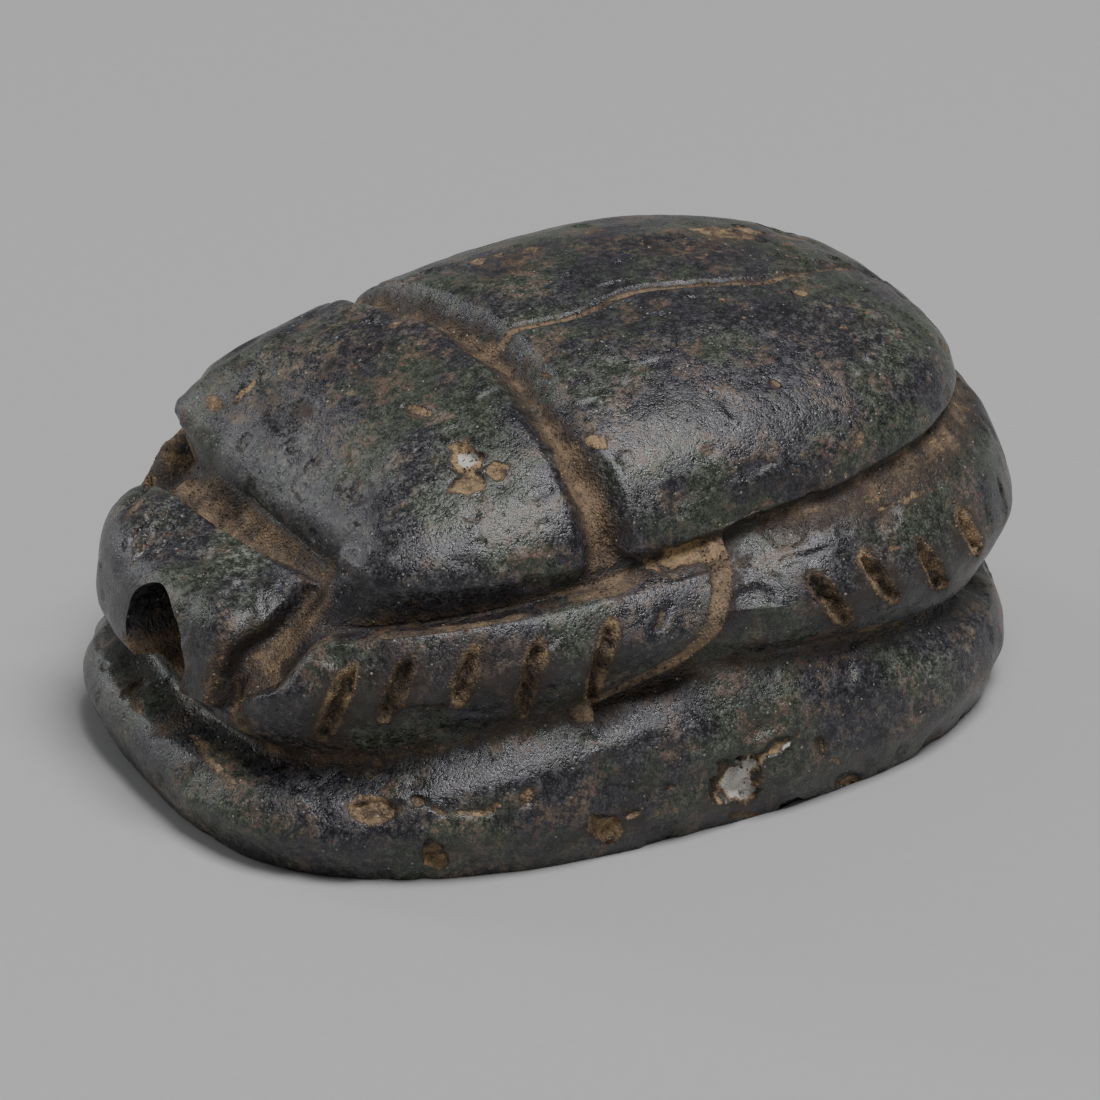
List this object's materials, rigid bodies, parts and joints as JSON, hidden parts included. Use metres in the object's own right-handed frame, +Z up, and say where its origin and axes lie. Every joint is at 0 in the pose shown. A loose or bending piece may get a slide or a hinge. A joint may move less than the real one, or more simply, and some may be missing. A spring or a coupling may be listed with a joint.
{
  "type": "scarab amulet",
  "caption": "Carved stone scarab beetle on an oval base, bored lengthwise for a thread, with notched legs, split wing cases and a plain flat underside.",
  "frame": {"origin": "middle of the oval base, on the flat underside", "axes": "+Z up from the underside through the back, +X from the head towards the tail, -Y towards the flank that the picture shows"},
  "size_m": [0.0201, 0.0148, 0.0095],
  "materials": {
    "stone": "satin"
  },
  "bodies": {
    "root": {"scarab": "stone"}
  },
  "joints": []
}
